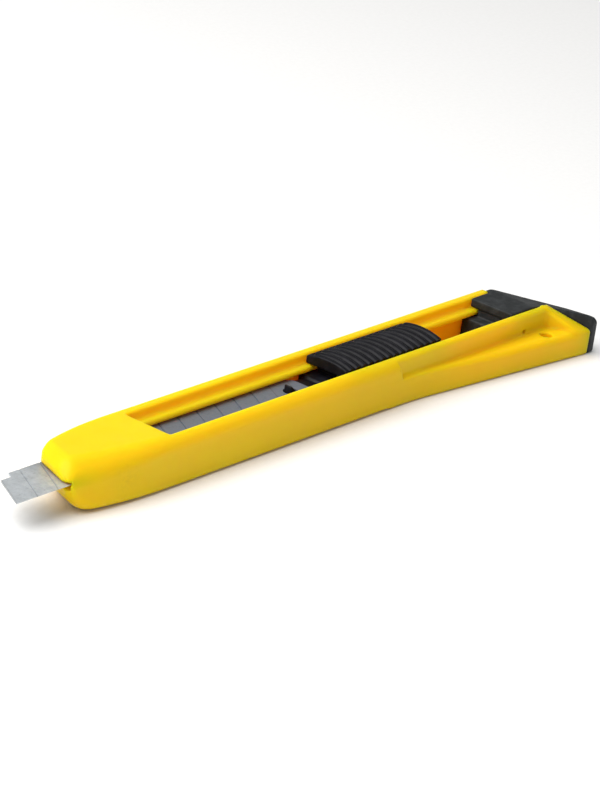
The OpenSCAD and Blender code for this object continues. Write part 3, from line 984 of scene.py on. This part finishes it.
class KNIFE_OT_cap(bpy.types.Operator):
    """Build the end cap with its plug and slanted plate"""

    bl_idname = "knife.build_cap"
    bl_label = "End cap"

    def execute(self, context):
        s = context.scene.knife_cap
        cap = skin(
            "tail_cap",
            cap_distance(s),
            even(CAP_LOW[0] - 0.5, CAP_HIGH[0] + 0.8, 0.22),
            even(CAP_LOW[1] - 0.5, CAP_HIGH[1] + 0.5, 0.22),
            even(CAP_LOW[2] - 0.5, CAP_HIGH[2] + 0.5, 0.2),
        )
        dull_black = black_plastic("cap_moulding", s.colour, 0.46, 0.16, 0.4)
        settle(cap, "cap", "cap_plastic", dull_black, "end_cap")
        return {"FINISHED"}


class KNIFE_OT_steel(bpy.types.Operator):
    """Give the blade and the lock spring their ground and rolled steel finishes"""

    bl_idname = "knife.finish_steel"
    bl_label = "Steel parts"

    def execute(self, context):
        s = context.scene.knife_steel
        for node, material in (
            ("blade", blade_steel(s.blade)),
            ("lock_spring", spring_strip_steel(s.spring)),
        ):
            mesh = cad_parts[node].data
            mesh.materials.clear()
            mesh.materials.append(material)
        return {"FINISHED"}


def lay_floor():
    """A wide sheet of paper, just under the knife."""
    half, z = 3, -0.00002
    corners = [(-half, -half, z), (half, -half, z), (half, half, z), (-half, half, z)]
    mesh = bpy.data.meshes.new("paper_sweep")
    mesh.from_pydata(corners, [], [(0, 1, 2, 3)])
    mesh.materials.append(floor_paper())
    add_piece("paper_sweep", mesh)


def hang_light(name, place, size, power_w, colour):
    """A round soft light, turned toward the knife."""
    light = bpy.data.lights.new(name, "AREA")
    light.shape = "DISK"
    light.size = size
    light.energy = power_w
    light.color = colour
    lamp = bpy.data.objects.new(name, light)
    lamp.location = place
    lamp.rotation_euler = Vector(place).to_track_quat("Z", "Y").to_euler()
    bpy.context.scene.collection.objects.link(lamp)


class KNIFE_OT_stage(bpy.types.Operator):
    """Set out the paper sweep, the soft lights and the camera"""

    bl_idname = "knife.set_stage"
    bl_label = "Stage"

    def execute(self, context):
        s = context.scene.knife_stage
        scene = context.scene
        lay_floor()
        hang_light("key", (-0.38, 0.16, 0.62), 0.85, s.key_power, (1.0, 0.99, 0.97))
        hang_light("fill", (-0.55, -0.60, 0.35), 0.6, s.fill_power, (1.0, 1.0, 1.0))

        world = bpy.data.worlds.new("studio")
        world.use_nodes = True
        sky = world.node_tree.nodes["Background"]
        sky.inputs["Color"].default_value = (1, 1, 1, 1)
        sky.inputs["Strength"].default_value = s.sky
        scene.world = world
        scene.view_settings.view_transform = "Standard"

        camera = bpy.data.cameras.new("camera")
        camera.lens = s.lens
        camera.clip_start = 0.01
        camera.clip_end = 10
        view = bpy.data.objects.new("camera", camera)
        view.location = (-0.51694, -0.37310, 0.26186)
        view.rotation_euler = Euler([math.radians(a) for a in (67.665, -7.529, -50.906)], "XYZ")
        scene.collection.objects.link(view)
        scene.camera = view
        return {"FINISHED"}


class KNIFE_PT_panel(bpy.types.Panel):
    """Lists the knife's build steps and their settings"""

    bl_idname = "KNIFE_PT_panel"
    bl_label = "Utility Knife"
    bl_space_type = "VIEW_3D"
    bl_region_type = "UI"
    bl_category = "Knife"

    def draw(self, context):
        layout = self.layout
        for group, operator in BUILD_STEPS:
            box = layout.box()
            settings = getattr(context.scene, group)
            for key in settings.__annotations__:
                box.prop(settings, key)
            box.operator(operator)


SETTINGS = {
    "knife_body": KnifeBodySettings,
    "knife_slider": KnifeSliderSettings,
    "knife_cap": KnifeCapSettings,
    "knife_steel": KnifeSteelSettings,
    "knife_stage": KnifeStageSettings,
}
BUILD_STEPS = (
    ("knife_body", "knife.build_body"),
    ("knife_slider", "knife.build_slider"),
    ("knife_cap", "knife.build_cap"),
    ("knife_steel", "knife.finish_steel"),
    ("knife_stage", "knife.set_stage"),
)
OPERATORS = (KNIFE_OT_body, KNIFE_OT_slider, KNIFE_OT_cap, KNIFE_OT_steel, KNIFE_OT_stage)


def register():
    """Makes the settings, the build steps and the panel known to Blender."""
    for group in SETTINGS.values():
        bpy.utils.register_class(group)
    for operator in OPERATORS:
        bpy.utils.register_class(operator)
    bpy.utils.register_class(KNIFE_PT_panel)
    for name, group in SETTINGS.items():
        setattr(bpy.types.Scene, name, PointerProperty(type=group))


def unregister():
    """Takes away everything that register made."""
    for name in SETTINGS:
        delattr(bpy.types.Scene, name)
    bpy.utils.unregister_class(KNIFE_PT_panel)
    for operator in reversed(OPERATORS):
        bpy.utils.unregister_class(operator)
    for group in reversed(SETTINGS.values()):
        bpy.utils.unregister_class(group)


def main():
    """Builds every piece."""
    register()
    for _, operator in BUILD_STEPS:
        module, name = operator.split(".")
        getattr(getattr(bpy.ops, module), name)()


if __name__ == "__main__":
    main()
